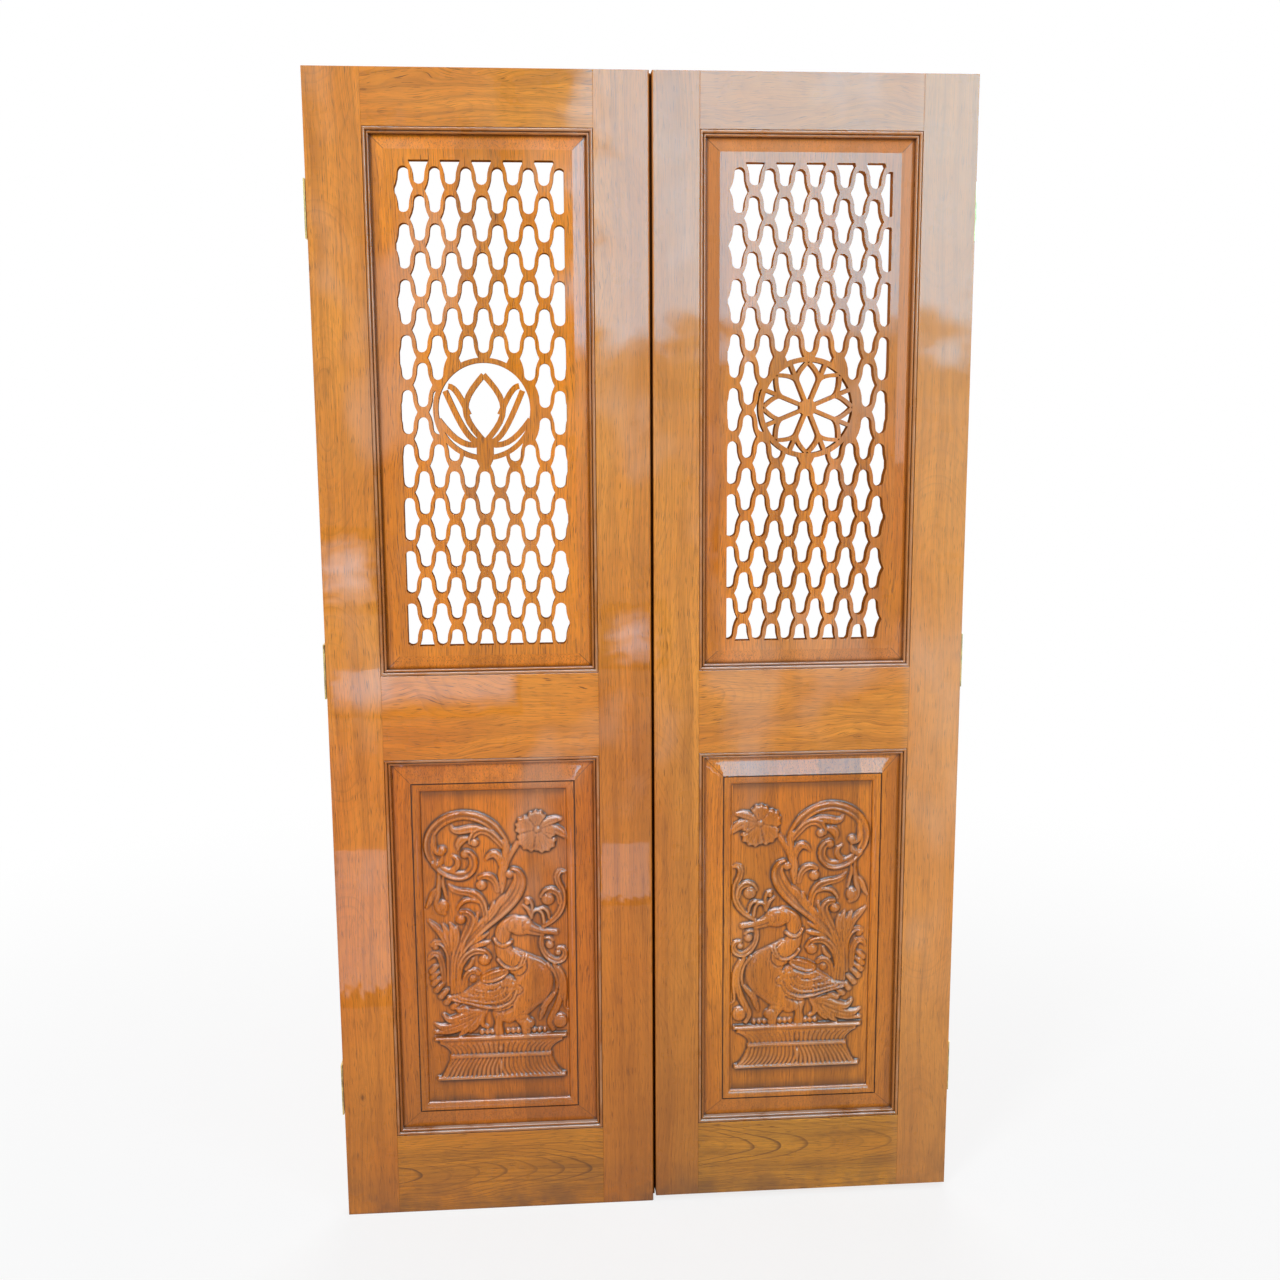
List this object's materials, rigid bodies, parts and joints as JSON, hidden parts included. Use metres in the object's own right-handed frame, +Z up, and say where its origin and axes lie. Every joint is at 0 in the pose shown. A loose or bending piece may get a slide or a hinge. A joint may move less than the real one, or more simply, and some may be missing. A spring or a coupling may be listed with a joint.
{
  "type": "carved double door",
  "caption": "Pair of varnished teak door leaves with pierced lattice panels above, carved bird panels below and brass butt hinges on the outer edges.",
  "frame": {"origin": "middle of the foot of the shut pair, at the level of the left leaf's foot", "axes": "+Z up, +X to the right as seen from the carved face, +Y towards the back where the hinge barrels are"},
  "size_m": [1.18, 0.0454, 2.1],
  "materials": {
    "frame_teak": "gloss varnish, long grain along each stile and rail",
    "panel_teak": "gloss varnish, upright grain",
    "bead_teak": "gloss varnish, worn edges",
    "brass": "dulled polish"
  },
  "bodies": {
    "jamb_hinges": {"left_top_hinge_jamb_flap": "brass", "left_top_hinge_pin": "brass", "left_middle_hinge_jamb_flap": "brass", "left_middle_hinge_pin": "brass", "left_bottom_hinge_jamb_flap": "brass", "left_bottom_hinge_pin": "brass", "right_top_hinge_jamb_flap": "brass", "right_top_hinge_pin": "brass", "right_middle_hinge_jamb_flap": "brass", "right_middle_hinge_pin": "brass", "right_bottom_hinge_jamb_flap": "brass", "right_bottom_hinge_pin": "brass"},
    "left_leaf": {"left_hinge_stile": "frame_teak", "left_meeting_stile": "frame_teak", "left_top_rail": "frame_teak", "left_lock_rail": "frame_teak", "left_bottom_rail": "frame_teak", "left_jali_panel": "panel_teak", "left_carved_panel": "panel_teak", "left_hinge_screws": "brass", "left_upper_bead_top": "bead_teak", "left_upper_bead_bottom": "bead_teak", "left_upper_bead_hinge_side": "bead_teak", "left_upper_bead_meeting_side": "bead_teak", "left_lower_bead_top": "bead_teak", "left_lower_bead_bottom": "bead_teak", "left_lower_bead_hinge_side": "bead_teak", "left_lower_bead_meeting_side": "bead_teak", "left_top_hinge_leaf_flap": "brass", "left_middle_hinge_leaf_flap": "brass", "left_bottom_hinge_leaf_flap": "brass"},
    "right_leaf": {"right_hinge_stile": "frame_teak", "right_meeting_stile": "frame_teak", "right_top_rail": "frame_teak", "right_lock_rail": "frame_teak", "right_bottom_rail": "frame_teak", "right_jali_panel": "panel_teak", "right_carved_panel": "panel_teak", "right_hinge_screws": "brass", "right_upper_bead_top": "bead_teak", "right_upper_bead_bottom": "bead_teak", "right_upper_bead_hinge_side": "bead_teak", "right_upper_bead_meeting_side": "bead_teak", "right_lower_bead_top": "bead_teak", "right_lower_bead_bottom": "bead_teak", "right_lower_bead_hinge_side": "bead_teak", "right_lower_bead_meeting_side": "bead_teak", "right_top_hinge_leaf_flap": "brass", "right_middle_hinge_leaf_flap": "brass", "right_bottom_hinge_leaf_flap": "brass"}
  },
  "joints": [
    {"name": "left_leaf_hinge", "type": "hinge", "parent": "jamb_hinges", "child": "left_leaf", "pos_m": [-0.585, 0.01775, 1.06], "axis": [0, 0, 1], "range_deg": [0, 105]},
    {"name": "right_leaf_hinge", "type": "hinge", "parent": "jamb_hinges", "child": "right_leaf", "pos_m": [0.585, 0.01775, 1.06], "axis": [0, 0, -1], "range_deg": [0, 105]}
  ]
}
